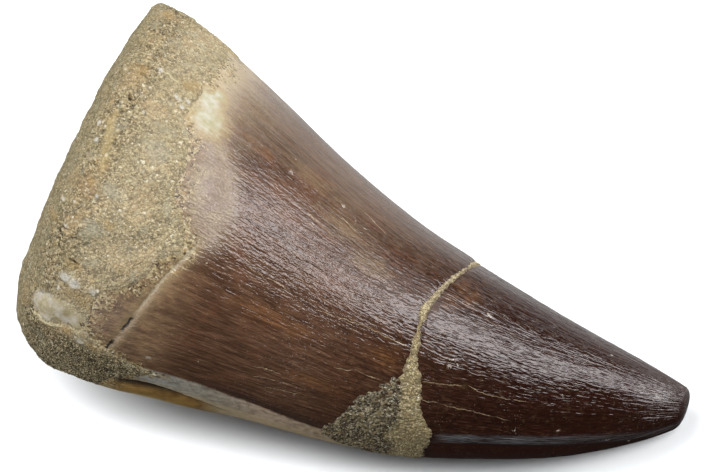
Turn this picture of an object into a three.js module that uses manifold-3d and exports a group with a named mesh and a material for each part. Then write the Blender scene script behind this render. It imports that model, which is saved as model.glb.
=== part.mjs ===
// A fossil mosasaur tooth, lying on its side as it rests on a table.
//
// Three solids make it up: the tooth itself, a lump of sandy matrix round its root end,
// and the sandy filler in an old break that runs round the crown.
//
// Units are millimetres. +X runs along the tooth to its tip, +Y is the hollow side of its curve and +Z is up.
// The origin is the middle of the object's footprint, on the surface that it rests on.

import * as THREE from "three";
import { mergeVertices } from "three/addons/utils/BufferGeometryUtils.js";
import Module from "manifold-3d";

const wasm = await Module();
wasm.setup();

// ---------------------------------------------------------------- driving dimensions

const LENGTH = 57; // root end to tip, before the root end's slant

// The body's outline at stations along its length. "hollow" and "full" are the two sides seen from above,
// roof and belly are heights above and below the sides as a share of the half width,
// and lift is how far the belly clears the table: below zero it is worn flat.
const STATIONS = {
  along: [0, 4, 9, 15, 22, 29, 36, 42, 47, 51, 54.5, LENGTH],
  hollow: [12.7, 12.6, 11.0, 8.7, 5.8, 3.3, 1.5, 0.5, -0.1, -0.4, -0.6, -0.7],
  full: [-21.1, -21.2, -21.5, -20.7, -19.5, -18.7, -17.2, -14.7, -12.2, -9.5, -6.6, -3.9],
  roof: [0.8, 0.8, 0.81, 0.82, 0.83, 0.84, 0.85, 0.87, 0.89, 0.91, 0.93, 0.95],
  belly: [0.76, 0.76, 0.77, 0.78, 0.79, 0.8, 0.81, 0.83, 0.85, 0.87, 0.9, 0.93],
  lift: [0.9, 0.2, -0.3, -0.4, -0.35, -0.1, 0.1, 0.3, 0.5, 0.75, 1.05, 1.3],
};

const FOOTPRINT_CENTRE = { x: 27.7, y: -4.39 }; // of the finished object, in the stations' own frame

const ROOT_END = {
  roundingHollow: 1.6, // depth of the end's rounded rim on the hollow side
  roundingFull: 8.3, // and on the full side
  squareness: 3.5, // 2 is an elliptical rim, more is squarer
  slant: 0.23, // how far the end face leans towards the tip, per mm of height
};

const TIP_END = { rounding: 1.2, squareness: 2.2 }; // the tip is worn blunt

// The two cutting edges run from root to tip and turn a little round the crown on the way.
const CUTTING_EDGE = {
  angles: [168, 348],
  height: 0.45,
  halfWidth: 7, // degrees
  turnFrom: 14,
  turnTo: 50,
  turn: -10,
};

// Where the matrix stops on the tooth's skin: [angle round the tooth, distance from the root end].
// It stops short on the lower flank, where a flake of the tooth reaches almost to the end.
const MATRIX_EDGE = [
  [0, 11.5], [31, 9.9], [60, 9.2], [80, 9.3], [100, 11.0], [114, 13.2], [122, 13.0],
  [132, 11.2], [145, 8.6], [156, 8.2], [163, 9.8], [172, 14.8], [186, 12.0],
  [215, 11.0], [250, 12.5], [285, 11.5], [320, 12.5],
];
const STUMP = { depth: 4.5, power: 2.2 }; // the broken root stump bulges into the matrix
const LUMPS = { height: 0.32, pitch: 4.6 };

// The old break: [angle, distance from the root end, half width of the filler].
const BREAK = [
  [0, 36.2, 0.4], [30, 36.0, 0.35], [58, 35.6, 0.35], [72, 34.8, 0.35], [90, 34.0, 0.35], [110, 34.2, 0.4],
  [125, 34.8, 0.7], [140, 35.1, 1.0], [152, 35.6, 1.4], [163, 36.0, 1.7], [185, 35.4, 2.2],
  [205, 35.2, 1.5], [235, 35.0, 0.7], [280, 35.4, 0.5], [320, 36.0, 0.4],
];
const FILLER = { depth: 0.9, proud: 0.15, patchProud: 0.35 };

// A narrow crack sets the flake apart: [angle, distance from the root end].
const FLAKE_CRACK = [
  [119, 13.6], [130, 12.6], [141, 11.8], [152, 11.0], [164, 10.1],
];
const FLAKE_CRACK_WIDTH = 0.4;
const FLAKE_CRACK_DEPTH = 0.5;

// The gape between the tooth's two halves under its lower cutting edge, seen from the full side: [x, z].
const GAPE = {
  roof: [[9.6, 11.0], [11.8, 11.7], [14.4, 11.5], [17.8, 10.2], [21.5, 8.5]],
  floor: [[19, 8.9], [17, 9.3], [15.3, 9.9], [12, 10.2]],
  depth: 3.2,
};

const JOINT_GAP = 0.3; // clearance between neighbouring solids
const SEGMENTS = 60; // round the body
const TABLE_CUT = 200; // size of the block that cuts the belly flat

// ---------------------------------------------------------------- curves

const radians = THREE.MathUtils.degToRad;

// A smooth curve through values at stations, read at x.
function through(stations, values, x) {
  const last = stations.length - 1;
  let i = 0;
  while (i < last - 1 && x > stations[i + 1]) i++;
  const slope = (k) => {
    const a = Math.max(k - 1, 0);
    const b = Math.min(k + 1, last);
    return (values[b] - values[a]) / (stations[b] - stations[a]);
  };
  const span = stations[i + 1] - stations[i];
  const t = (x - stations[i]) / span;
  const t2 = t * t;
  const t3 = t2 * t;
  return (
    (2 * t3 - 3 * t2 + 1) * values[i] +
    (t3 - 2 * t2 + t) * span * slope(i) +
    (3 * t2 - 2 * t3) * values[i + 1] +
    (t3 - t2) * span * slope(i + 1)
  );
}

// A curve round the tooth: rows of [angle, value, ...] read at an angle, in degrees.
function round(rows, angle, column = 1) {
  const turned = THREE.MathUtils.euclideanModulo(angle, 360);
  const wrapped = [
    rows.at(-1).with(0, rows.at(-1)[0] - 360),
    ...rows,
    rows[0].with(0, rows[0][0] + 360),
    rows[1].with(0, rows[1][0] + 360),
  ];
  return through(wrapped.map((row) => row[0]), wrapped.map((row) => row[column]), turned);
}

// Low, irregular lumps, between -1 and 1.
function lump(p) {
  const k = (2 * Math.PI) / LUMPS.pitch;
  const broad = Math.sin(k * (p.x + 0.6 * p.y)) * Math.sin(k * (p.z - 0.4 * p.x) + 1.3);
  const fine = Math.sin(2.3 * k * (p.y - 0.5 * p.z) + 0.7) * Math.sin(2.1 * k * (p.x + 0.3 * p.z));
  return 0.65 * broad + 0.35 * fine;
}

// ---------------------------------------------------------------- the tooth's skin

function turnAt(along) {
  return CUTTING_EDGE.turn * THREE.MathUtils.smoothstep(along, CUTTING_EDGE.turnFrom, CUTTING_EDGE.turnTo);
}

function cuttingEdgeHeight(angle, along) {
  const fade = THREE.MathUtils.smoothstep(along, 6, 12) * THREE.MathUtils.smoothstep(LENGTH - along, 0, 6);
  const away = CUTTING_EDGE.angles.map((edge) =>
    Math.abs(THREE.MathUtils.euclideanModulo(angle - edge + 180, 360) - 180));
  const share = Math.max(0, 1 - Math.min(...away) / CUTTING_EDGE.halfWidth);
  return CUTTING_EDGE.height * share * fade;
}

// The point at a distance along, an angle round, and a share of the way out from the middle, plus extra mm.
// Angles count from the hollow side over the top.
function skin(along, angle, share = 1, extra = 0) {
  const at = (values) => through(STATIONS.along, values, along);
  const halfWidth = (at(STATIONS.hollow) - at(STATIONS.full)) / 2;
  const middleY = (at(STATIONS.hollow) + at(STATIONS.full)) / 2;
  const bellyDepth = at(STATIONS.belly) * halfWidth;
  const middleZ = bellyDepth + at(STATIONS.lift);

  const turned = radians(angle + turnAt(along));
  const height = Math.sin(turned) > 0 ? at(STATIONS.roof) * halfWidth : bellyDepth;
  const out = share + extra / halfWidth;
  const up = height * out * Math.sin(turned);
  const lean = ROOT_END.slant * up * Math.max(0, 1 - along / LENGTH);
  return new THREE.Vector3(along + lean, middleY + halfWidth * out * Math.cos(turned), middleZ + up);
}

// The rim of the root end is rounder on the full side, so the first few mm stretch with the angle.
const NOMINAL_ROUNDING = 5;
function stretchRoot(along, angle) {
  const mean = (ROOT_END.roundingHollow + ROOT_END.roundingFull) / 2;
  const depth = mean + (ROOT_END.roundingHollow - mean) * Math.cos(radians(angle));
  if (along < NOMINAL_ROUNDING) return (along * depth) / NOMINAL_ROUNDING;
  return depth + ((along - NOMINAL_ROUNDING) * (LENGTH - depth)) / (LENGTH - NOMINAL_ROUNDING);
}

// Profile of a plain round bar with both rims rounded: x is the share of the full radius, y the distance along.
function barProfile() {
  const points = [];
  const rim = (share, squareness) => Math.max(0, 1 - share ** squareness) ** (1 / squareness);
  const RIM_STEPS = 8;
  for (let i = 0; i <= RIM_STEPS; i++) {
    const cos = Math.cos((i / RIM_STEPS) * (Math.PI / 2));
    points.push(new THREE.Vector2(rim(cos, ROOT_END.squareness), NOMINAL_ROUNDING * (1 - cos)));
  }
  const BODY_STEPS = 42;
  const bodyEnd = LENGTH - TIP_END.rounding;
  for (let i = 1; i <= BODY_STEPS; i++) {
    points.push(new THREE.Vector2(1, THREE.MathUtils.lerp(NOMINAL_ROUNDING, bodyEnd, i / BODY_STEPS)));
  }
  const TIP_STEPS = 4;
  for (let i = 1; i <= TIP_STEPS; i++) {
    const sin = i === TIP_STEPS ? 1 : Math.sin((i / TIP_STEPS) * (Math.PI / 2));
    points.push(new THREE.Vector2(rim(sin, TIP_END.squareness), bodyEnd + TIP_END.rounding * sin));
  }
  return points;
}

// ---------------------------------------------------------------- solids

function toSolid(geometry) {
  geometry.deleteAttribute("normal");
  geometry.deleteAttribute("uv");
  const merged = mergeVertices(geometry, 1e-4);
  return new wasm.Manifold(
    new wasm.Mesh({
      numProp: 3,
      vertProperties: merged.attributes.position.array,
      triVerts: new Uint32Array(merged.index.array),
    }),
  );
}

function toGeometry(solid) {
  const mesh = solid.getMesh();
  return new THREE.BufferGeometry()
    .setAttribute("position", new THREE.BufferAttribute(mesh.vertProperties, 3))
    .setIndex(new THREE.BufferAttribute(mesh.triVerts, 1));
}

// Moves every vertex of a geometry to where place(point) puts it.
function reshape(geometry, place) {
  const position = geometry.getAttribute("position");
  const point = new THREE.Vector3();
  for (let i = 0; i < position.count; i++) {
    const moved = place(point.fromBufferAttribute(position, i));
    position.setXYZ(i, moved.x, moved.y, moved.z);
  }
  return geometry;
}

// A lathe turns about its own Y axis, so a vertex gives its distance along, its angle and its radius.
function readLathe(point) {
  const share = Math.hypot(point.x, point.z);
  return { along: point.y, share, angle: THREE.MathUtils.radToDeg(Math.atan2(point.x, point.z)) };
}

// The whole body from root end to tip, with a relief of its own in mm.
function body(relief) {
  return toSolid(
    reshape(new THREE.LatheGeometry(barProfile(), SEGMENTS), (point) => {
      const { along, share, angle } = readLathe(point);
      const stretched = stretchRoot(along, angle);
      const plain = skin(stretched, angle, share);
      return skin(stretched, angle, share, share * relief(plain, angle, stretched));
    }),
  );
}

// Everything behind the matrix's front face, which is wavy round its rim and dished by the root stump.
function behindMatrixFace(shift) {
  const SIDE = 60;
  const DEPTH = 40;
  const CELLS = 22;
  const block = new THREE.BoxGeometry(DEPTH, SIDE, SIDE, 1, CELLS, CELLS).translate(-DEPTH / 2, -4, 13);
  const middle = skin(10, 0, 0);
  const halfWidth = skin(10, 0).y - middle.y;
  return toSolid(
    reshape(block, (point) => {
      if (point.x < -1) return point;
      const angle = THREE.MathUtils.radToDeg(Math.atan2(point.z - middle.z, point.y - middle.y));
      const share = Math.min(1, Math.hypot(point.y - middle.y, point.z - middle.z) / halfWidth);
      const rim = round(MATRIX_EDGE, angle) * share + 11 * (1 - share);
      const dish = STUMP.depth * (1 - share ** STUMP.power);
      const lean = ROOT_END.slant * (point.z - middle.z) * (1 - rim / LENGTH);
      return point.setX(rim - dish + lean + shift);
    }),
  );
}

// A ring of four-sided section that lies in the skin along the old break.
function breakRing(widen, sink, rise) {
  const square = [[1, -1], [2, -1], [2, 1], [1, 1], [1, -1]].map(([x, y]) => new THREE.Vector2(x, y));
  return toSolid(
    reshape(new THREE.LatheGeometry(square, SEGMENTS), (point) => {
      const { along: side, share: layer, angle } = readLathe(point);
      const centre = round(BREAK, angle, 1);
      const halfWidth = round(BREAK, angle, 2) + widen;
      const proud = rise(round(BREAK, angle, 2));
      return skin(centre + side * halfWidth, angle - turnAt(centre), 1, layer > 1.5 ? proud : -sink);
    }),
  );
}

// A thin wedge that follows the narrow crack and cuts a groove into the skin.
function crackGroove() {
  const path = new THREE.CatmullRomCurve3(FLAKE_CRACK.map(([angle, along]) => skin(along, angle)));
  const section = new THREE.Shape([
    new THREE.Vector2(-FLAKE_CRACK_DEPTH, 0),
    new THREE.Vector2(0, -FLAKE_CRACK_WIDTH / 2),
    new THREE.Vector2(FLAKE_CRACK_DEPTH, 0),
    new THREE.Vector2(0, FLAKE_CRACK_WIDTH / 2),
  ]);
  return toSolid(new THREE.ExtrudeGeometry(section, { steps: 14, extrudePath: path }));
}

function gape() {
  const outline = new THREE.Shape([...GAPE.roof, ...GAPE.floor].map(([x, z]) => new THREE.Vector2(x, z)));
  const outside = 2;
  const slab = new THREE.ExtrudeGeometry(outline, { depth: GAPE.depth + outside, bevelEnabled: false });
  const fullSide = through(STATIONS.along, STATIONS.full, 15);
  return toSolid(slab.rotateX(Math.PI / 2).translate(0, fullSide + GAPE.depth, 0));
}

function belowTable() {
  return toSolid(new THREE.BoxGeometry(TABLE_CUT, TABLE_CUT, TABLE_CUT).translate(0, 0, -TABLE_CUT / 2));
}

// ---------------------------------------------------------------- the three pieces

function makeTooth() {
  const crown = body((point, angle, along) => cuttingEdgeHeight(angle, along));
  const groove = breakRing(JOINT_GAP, FILLER.depth + JOINT_GAP, () => 3);
  return crown
    .subtract(behindMatrixFace(JOINT_GAP / 2))
    .subtract(groove)
    .subtract(crackGroove())
    .subtract(gape())
    .subtract(belowTable());
}

function makeMatrix() {
  const lumpy = body((point) => LUMPS.height * lump(point));
  return lumpy
    .intersect(behindMatrixFace(-JOINT_GAP / 2))
    .subtract(gape())
    .subtract(belowTable());
}

function makeFiller() {
  const widest = 2.2;
  const proud = (halfWidth) =>
    THREE.MathUtils.lerp(FILLER.proud, FILLER.patchProud, Math.min(1, halfWidth / widest));
  return breakRing(0, FILLER.depth, proud).subtract(belowTable());
}

const ENAMEL = new THREE.MeshStandardMaterial({ color: 0x3d2119, roughness: 0.38, metalness: 0 });
const SANDY_MATRIX = new THREE.MeshStandardMaterial({ color: 0xa08d6a, roughness: 0.95, metalness: 0 });
const SANDY_FILLER = new THREE.MeshStandardMaterial({ color: 0xb09a68, roughness: 0.9, metalness: 0 });

function piece(name, solid, material) {
  const mesh = new THREE.Mesh(toGeometry(solid), material);
  mesh.name = name;
  return mesh;
}

const fossil = new THREE.Group();
fossil.add(
  piece("tooth", makeTooth(), ENAMEL),
  piece("matrix", makeMatrix(), SANDY_MATRIX),
  piece("break_filler", makeFiller(), SANDY_FILLER),
);
fossil.position.set(-FOOTPRINT_CENTRE.x, -FOOTPRINT_CENTRE.y, 0);

export default fossil;
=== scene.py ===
# %% [markdown]
# # A fossil mosasaur tooth
#
# The object is a stout, curved reptile tooth that lies on its side. Three things make it up: the tooth
# with its dark, wrinkled enamel, the sandy rock that still grips its root end, and the sandy cement in an
# old break round the crown. Each of them is one mesh here. All three are spun about the tooth's length,
# bent to one measured body shape, and then given their own relief, so they meet each other as the real
# ones do.

import math

import bmesh
import bpy
import numpy as np
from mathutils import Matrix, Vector, noise


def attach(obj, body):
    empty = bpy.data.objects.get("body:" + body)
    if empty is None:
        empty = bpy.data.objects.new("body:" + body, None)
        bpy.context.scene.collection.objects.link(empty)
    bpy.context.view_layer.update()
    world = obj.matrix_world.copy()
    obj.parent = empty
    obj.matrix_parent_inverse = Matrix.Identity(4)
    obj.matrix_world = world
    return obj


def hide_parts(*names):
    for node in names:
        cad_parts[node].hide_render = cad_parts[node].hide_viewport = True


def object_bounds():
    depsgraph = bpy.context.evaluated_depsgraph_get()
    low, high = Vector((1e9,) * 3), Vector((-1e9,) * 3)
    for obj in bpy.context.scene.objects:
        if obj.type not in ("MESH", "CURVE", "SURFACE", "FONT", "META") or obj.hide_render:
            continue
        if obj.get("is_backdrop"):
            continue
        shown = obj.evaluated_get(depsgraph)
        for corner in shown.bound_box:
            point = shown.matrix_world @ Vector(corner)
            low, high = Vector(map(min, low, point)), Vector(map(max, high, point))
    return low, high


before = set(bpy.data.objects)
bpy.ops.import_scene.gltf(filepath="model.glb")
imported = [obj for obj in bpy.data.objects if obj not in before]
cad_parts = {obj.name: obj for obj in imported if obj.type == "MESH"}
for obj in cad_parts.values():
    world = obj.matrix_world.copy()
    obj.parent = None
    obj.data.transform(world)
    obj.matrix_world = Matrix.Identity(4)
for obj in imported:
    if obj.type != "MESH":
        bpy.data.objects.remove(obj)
model_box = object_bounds()
MM = 0.001
print("model, mm:", [round((high - low) / MM, 1) for low, high in zip(*model_box)])

# %% [markdown]
# ## The camera
#
# The tooth is seen from above and a little to the right. A short lens close by would swell the near end,
# so the camera stands back and has a long lens.

# %% Place the camera
VIEW_AZIMUTH = 20.5
VIEW_ELEVATION = 58
VIEW_DISTANCE = 224.8
VIEW_LENS = 130
VIEW_NEAREST = 10
VIEW_TARGET = Vector((-2.7, 4.39, 10)) * MM


def direction(azimuth, elevation):
    """The unit vector towards something seen at that azimuth and elevation, in degrees."""
    a, e = math.radians(azimuth), math.radians(elevation)
    return Vector((math.sin(a) * math.cos(e), -math.cos(a) * math.cos(e), math.sin(e)))


def aim(obj, place, target):
    """Puts a camera or a light at a place, looking at the target."""
    obj.location = place
    obj.rotation_euler = (target - place).to_track_quat("-Z", "Y").to_euler()
    bpy.context.scene.collection.objects.link(obj)


camera = bpy.data.objects.new("camera", bpy.data.cameras.new("camera"))
camera.data.lens = VIEW_LENS
camera.data.clip_start = VIEW_NEAREST * MM
aim(camera, VIEW_TARGET + direction(VIEW_AZIMUTH, VIEW_ELEVATION) * VIEW_DISTANCE * MM, VIEW_TARGET)
bpy.context.scene.camera = camera
bpy.context.scene.view_settings.view_transform = "Standard"
print("camera at", [round(c / MM) for c in camera.location])

# %% [markdown]
# ## One body shape for all three pieces
#
# A real tooth swells and curves, and hardly a part of it is flat or straight. It could be sculpted by
# hand, but then the rock and the cement would have to be fitted to it by eye. Here one smooth outline
# carries all three. It was measured at twelve stations along the length, and a smooth curve through each
# set of values gives the section anywhere between them. A point on the skin is then named by two numbers:
# how far along it is in millimetres, and at what angle round, counted from the hollow side over the top.
# Every crack, stain and chip further down is placed with those two numbers, so it stays on the surface.

# %% The measured stations
LENGTH = 57.0
ALONG = (0, 4, 9, 15, 22, 29, 36, 42, 47, 51, 54.5, LENGTH)
HOLLOW_SIDE = (12.7, 12.6, 11.0, 8.7, 5.8, 3.3, 1.5, 0.5, -0.1, -0.4, -0.6, -0.7)
FULL_SIDE = (-21.1, -21.2, -21.5, -20.5, -19.2, -18.35, -16.85, -14.45, -12.1, -9.5, -6.6, -3.95)
ROOF = (0.8, 0.8, 0.81, 0.82, 0.83, 0.84, 0.85, 0.87, 0.89, 0.91, 0.93, 0.95)
BELLY = (0.76, 0.76, 0.77, 0.78, 0.79, 0.8, 0.81, 0.83, 0.85, 0.87, 0.9, 0.93)
LIFT = (0.9, 0.2, -0.3, -0.4, -0.35, -0.1, 0.1, 0.3, 0.5, 0.75, 1.05, 1.3)
FOOTPRINT_CENTRE = (27.7, -4.39)
ROOT_RIM = {"hollow": 1.6, "full": 8.3, "squareness": 3.5}
ROOT_SLANT = 0.23
TIP_RIM = {"rounding": 0.6, "squareness": 2.6}

print("stations:", len(ALONG), "over", LENGTH, "mm")

# %% Read the stations as smooth curves


def through(stations, values, at):
    """A smooth curve through values at stations, read at any number of places."""
    stations = np.asarray(stations, float)
    values = np.asarray(values, float)
    slopes = np.gradient(values, stations)
    slopes[1:-1] = (values[2:] - values[:-2]) / (stations[2:] - stations[:-2])
    i = np.clip(np.searchsorted(stations, at, side="right") - 1, 0, len(stations) - 2)
    span = stations[i + 1] - stations[i]
    t = (at - stations[i]) / span
    start = (2 * t**3 - 3 * t**2 + 1) * values[i] + (t**3 - 2 * t**2 + t) * span * slopes[i]
    end = (3 * t**2 - 2 * t**3) * values[i + 1] + (t**3 - t**2) * span * slopes[i + 1]
    return start + end


def round_body(rows, angle):
    """A smooth curve round the body through rows of (angle, value)."""
    rows = sorted(rows)
    turned = [(a - 360, v) for a, v in rows[-2:]] + rows + [(a + 360, v) for a, v in rows[:2]]
    return through([a for a, v in turned], [v for a, v in turned], np.mod(angle, 360))


def skin(along, angle, share=1.0):
    """Points of the body in metres: share is how far out they are, from the middle to the skin."""
    hollow = through(ALONG, HOLLOW_SIDE, along)
    full = through(ALONG, FULL_SIDE, along)
    half_width = (hollow - full) / 2
    belly = through(ALONG, BELLY, along) * half_width
    roof = through(ALONG, ROOF, along) * half_width
    turn = np.radians(angle)
    up = np.where(np.sin(turn) > 0, roof, belly) * share * np.sin(turn)
    x = along + ROOT_SLANT * up * np.clip(1 - along / LENGTH, 0, 1) - FOOTPRINT_CENTRE[0]
    y = (hollow + full) / 2 + half_width * share * np.cos(turn) - FOOTPRINT_CENTRE[1]
    z = belly + through(ALONG, LIFT, along) + up
    return np.stack([x, y, z], axis=-1) * MM


print("widest, mm:", round(float(through(ALONG, HOLLOW_SIDE, 4.0) - through(ALONG, FULL_SIDE, 4.0)), 1))

# %% [markdown]
# ## Spinning a body and laying relief on it
#
# Blender's spin tool makes the surface: a straight row of points is turned about the X axis, with the
# points as rows and the turns as columns. A skin bridged between drawn sections would also do, but a spin
# is closed at once and its rows and columns stay even. The rows are then moved onto the body. Columns
# stand closer together where the object is seen best, and the seam where the spin closes is on the belly.
# Relief is added last, along each point's own normal, so a grain of sand on the end face stands out of
# the end face.

# %% Spin a profile
BELLY_ANGLE = -90.0
ONCE_ROUND = BELLY_ANGLE + 360
MERGE_DISTANCE = 1e-4


def crowded(places, weights, fractions):
    """Spreads fractions from 0 to 1 over a range of places, closer together where the weight is higher."""
    fine = np.linspace(places[0], places[-1], 2000)
    density = np.interp(fine, places, weights)
    total = np.concatenate([[0], np.cumsum((density[1:] + density[:-1]) / 2)])
    return np.interp(fractions, total / total[-1], fine)


def spin(profile, columns):
    """Spins a profile of (x, radius) points about X and returns the closed bmesh."""
    bm = bmesh.new()
    verts = [bm.verts.new((x, radius, 0)) for x, radius in profile]
    edges = [bm.edges.new(pair) for pair in zip(verts, verts[1:])]
    if profile[0][1] > 0:
        edges.append(bm.edges.new((verts[-1], verts[0])))
    bmesh.ops.spin(
        bm, geom=verts + edges, cent=(0, 0, 0), axis=(1, 0, 0), dvec=(0, 0, 0),
        angle=math.tau, steps=columns, use_merge=True, use_duplicate=False,
    )
    bmesh.ops.remove_doubles(bm, verts=bm.verts, dist=MERGE_DISTANCE)
    return bm


def read_points(mesh):
    points = np.empty(len(mesh.vertices) * 3)
    mesh.vertices.foreach_get("co", points)
    return points.reshape(-1, 3)


def spun_piece(name, profile, columns):
    """A new object, spun from the profile, with each point's x, radius and fraction of a turn."""
    bm = spin(profile, columns)
    mesh = bpy.data.meshes.new(name)
    bm.to_mesh(mesh)
    bm.free()
    piece = bpy.data.objects.new(name, mesh)
    bpy.context.scene.collection.objects.link(piece)
    points = read_points(mesh)
    turn = np.arctan2(points[:, 2], points[:, 1]) / math.tau
    return piece, points[:, 0], np.hypot(points[:, 1], points[:, 2]), np.mod(turn, 1)


print("columns run from", BELLY_ANGLE, "to", ONCE_ROUND, "degrees")

# %% Place the points, lay the relief and keep values


def place_points(mesh, points):
    """Moves the points, turns the faces outwards and shades them smooth."""
    mesh.vertices.foreach_set("co", points.ravel())
    bm = bmesh.new()
    bm.from_mesh(mesh)
    bmesh.ops.recalc_face_normals(bm, faces=bm.faces)
    bm.to_mesh(mesh)
    bm.free()
    mesh.shade_smooth()


def raise_relief(mesh, heights):
    """Moves each point along its normal by its height in mm, and lays the belly flat on the table."""
    normals = np.empty(len(mesh.vertices) * 3)
    mesh.vertex_normals.foreach_get("vector", normals)
    points = read_points(mesh) + normals.reshape(-1, 3) * heights[:, None] * MM
    points[:, 2] = np.maximum(points[:, 2], 0)
    mesh.vertices.foreach_set("co", points.ravel())
    mesh.update()


def keep_value(mesh, name, values):
    """Stores one number at each point, for a material to read."""
    layer = mesh.attributes.new(name, "FLOAT", "POINT")
    layer.data.foreach_set("value", np.asarray(values, np.float32))


def keep_vector(mesh, name, vectors):
    layer = mesh.attributes.new(name, "FLOAT_VECTOR", "POINT")
    layer.data.foreach_set("vector", np.asarray(vectors, np.float32).ravel())


print("heights are in mm, and one mm is", MM, "of Blender's units")

# %% [markdown]
# ## Noise, marks and lines
#
# A real surface is full of small accidents. An image could hold them, but it would blur close up, so
# three small tools draw them instead. Clouds are smooth noise at a size in millimetres, and may be
# stretched along the tooth. Marks are ovals at a place on the skin, 1 in their middle and 0 at their rim.
# Lines are read as a distance with a side, plus on one side and minus on the other, because that stays
# sharp when Blender blends it between two points of the mesh.

# %% Clouds, grains and fibres
FIBRE_RADIUS = 12.0
GRAIN_STEEPNESS = 1.6


def smooth(value, low, high):
    t = np.clip((value - low) / (high - low), 0, 1)
    return t * t * (3 - 2 * t)


def clouds(points, size, seed=0.0):
    """Smooth noise from about -1 to 1 at points in mm. The size is one number, or one for each axis."""
    return np.array([noise.noise(p) for p in (points / np.asarray(size) + seed).tolist()])


def grains(points, size, seed=0.0):
    """Rounded grains of a size in mm: 1 in the middle of a grain, 0 where it meets its neighbours."""
    heights = []
    for p in (points / size + seed).tolist():
        distances = noise.voronoi(p)[0]
        heights.append(min(1.0, (distances[1] - distances[0]) * GRAIN_STEEPNESS))
    return np.array(heights)


def fibres(along, angle):
    """Points in mm on a straight round bar that stands for the tooth, so that noise can follow it."""
    turn = np.radians(angle)
    return np.stack([FIBRE_RADIUS * np.cos(turn), FIBRE_RADIUS * np.sin(turn), along], axis=-1)


print("clouds and grains at three places:", clouds(np.eye(3), 2.0).round(2), grains(np.eye(3), 2.0).round(2))

# %% Marks and lines
SECTION_ROUNDNESS = 0.92
FAR_AWAY = 9.0


def mm_per_degree(along):
    """How far one degree round the tooth is, from the section's mean radius."""
    half_width = (through(ALONG, HOLLOW_SIDE, along) - through(ALONG, FULL_SIDE, along)) / 2
    return np.radians(SECTION_ROUNDNESS * half_width)


def marks(along, angle, ovals):
    """The strongest of several ovals (along, angle, half length, half width), from 1 in its middle down."""
    strongest = np.full(along.shape, -1.0)
    for at, turn, half_length, half_width in ovals:
        across = (angle - turn) * mm_per_degree(at) / half_width
        away = np.hypot((along - at) / half_length, across)
        strongest = np.maximum(strongest, 1 - away)
    return strongest


def line_distance(along, angle, *lines):
    """The nearest line's distance in mm, with a plus on its upper side, and the same without a side."""
    nearest = np.full(along.shape, FAR_AWAY)
    sided = np.full(along.shape, FAR_AWAY)
    for line in lines:
        for (x0, a0), (x1, a1) in zip(line, line[1:]):
            scale = mm_per_degree((x0 + x1) / 2)
            px, py = along - x0, (angle - a0) * scale
            dx, dy = x1 - x0, (a1 - a0) * scale
            t = np.clip((px * dx + py * dy) / (dx * dx + dy * dy), 0, 1)
            away = np.hypot(px - t * dx, py - t * dy)
            side = np.sign(py * dx - px * dy)
            closer = away < nearest
            nearest = np.where(closer, away, nearest)
            sided = np.where(closer, away * side, sided)
    return sided, nearest


print("a degree where the tooth is widest, mm:", round(float(mm_per_degree(4.0)), 2))

# %% [markdown]
# ## The tooth
#
# A tooth grows as one piece, so it is one mesh from the stump inside the matrix to its worn tip. Its
# enamel is drawn into fine ridges that run along the crown and turn to short, wavy wrinkles near the tip.
# A cutting edge runs down each side. Under the lower one the tooth has split open, and the split's
# smooth, ochre lower lip shows. A sculpting brush could carve all this once. As a sum of noise, ridges
# and steps, each part of the relief can still be changed by itself.

# %% Where the matrix stops, and where the break runs
MATRIX_EDGE = [
    (0, 11.5), (31, 9.6), (57, 9.5), (68, 9.0), (83, 9.3), (90, 10.2), (100, 10.7), (108, 11.4),
    (114, 13.0), (120, 13.5), (125, 12.6), (133, 11.2), (139, 10.3), (145, 8.4), (156, 7.8), (162, 9.4),
    (167, 12.0), (171, 14.6), (176, 12.5), (186, 11.0), (215, 11.0), (250, 12.5), (285, 11.5),
    (320, 12.5),
]
BREAK_LINE = [
    (0, 36.2), (30, 35.9), (49, 35.6), (62, 35.1), (72, 34.5), (80, 34.15), (88, 33.9), (95, 33.6),
    (104, 33.8), (113, 34.05), (122, 34.3), (130, 34.8), (139, 35.1), (148, 35.4), (158, 35.8),
    (170, 36.0), (190, 35.6), (215, 35.2), (280, 35.4),
]
CUTTING_EDGE_NEAR = [
    (0, 168), (16, 169), (21, 171), (26, 174.5), (30, 177.5), (33.5, 179), (36.5, 168), (39, 163),
    (42, 161), (45, 159.5), (48, 158.5), (51, 160), (54, 166), (55.5, 171), (57, 172),
]
CUTTING_EDGE_FAR = 350.0
SPLIT_UPPER = [
    (8.5, 183), (11.7, 180.5), (13.2, 178.5), (14.4, 178), (16.1, 178.7), (17.8, 181), (19.5, 184.3),
    (21.5, 188),
]
FLAKE_CRACK = [
    (13.9, 118), (13.1, 125.5), (12.6, 130.5), (12.2, 135.5), (11.8, 141), (11.4, 146.5), (11.0, 152.5),
    (10.7, 156.5), (10.1, 164), (9.8, 168),
]

print("the break's line has", len(BREAK_LINE), "points, the crack's", len(FLAKE_CRACK))

# %% Spin the tooth
TOOTH_COLUMNS = 520
TOOTH_COLUMN_PLACES = (BELLY_ANGLE, 15, 30, 165, 176, 192, 206, ONCE_ROUND)
TOOTH_COLUMN_WEIGHTS = (0.5, 0.55, 1, 1, 2.2, 2.0, 0.8, 0.5)
TOOTH_BODY_ROWS = 168
TOOTH_ROW_PLACES = (0, 0.08, 0.16, 0.5, 0.62, 1)
TOOTH_ROW_WEIGHTS = (1.7, 1.7, 1.0, 1.25, 1.0, 1.15)
TOOTH_TIP_ROWS = 12
STUMP_SHARES = (0.0, 0.4, 0.75, 0.95)
STUMP_LENGTH = 2.4


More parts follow.
